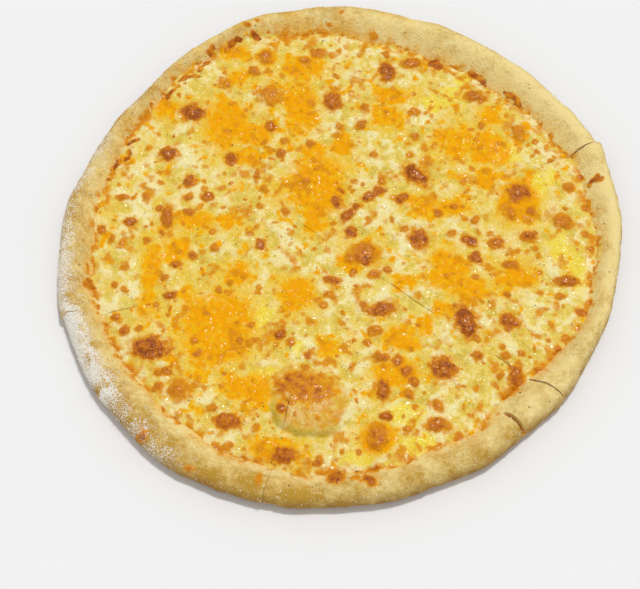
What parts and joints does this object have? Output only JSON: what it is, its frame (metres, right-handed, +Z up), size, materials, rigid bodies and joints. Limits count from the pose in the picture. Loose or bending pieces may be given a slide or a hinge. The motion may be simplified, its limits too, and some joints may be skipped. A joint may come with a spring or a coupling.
{
  "type": "cheese pizza",
  "caption": "Thin-crust cheese pizza with a rounded bread rim and blistered melted cheese, cut into wedge slices that lie together.",
  "frame": {"origin": "under the middle of the pizza's box, on the flat underside that it rests on", "axes": "+Z up through the cheese, +Y towards the back of the picture's view, +X to the right"},
  "size_m": [0.3114, 0.3132, 0.016],
  "materials": {
    "crust": "baked bread crust, matt, pale gold with a floured edge",
    "cheese": "melted cheese, oily and soft, cream and orange-yellow with browned blisters"
  },
  "bodies": {
    "root": {"crust_1": "crust", "crust_2": "crust", "crust_3": "crust", "crust_4": "crust", "crust_5": "crust", "crust_6": "crust", "cheese_1": "cheese", "cheese_2": "cheese", "cheese_3": "cheese", "cheese_4": "cheese", "cheese_5": "cheese", "cheese_6": "cheese"}
  },
  "joints": []
}
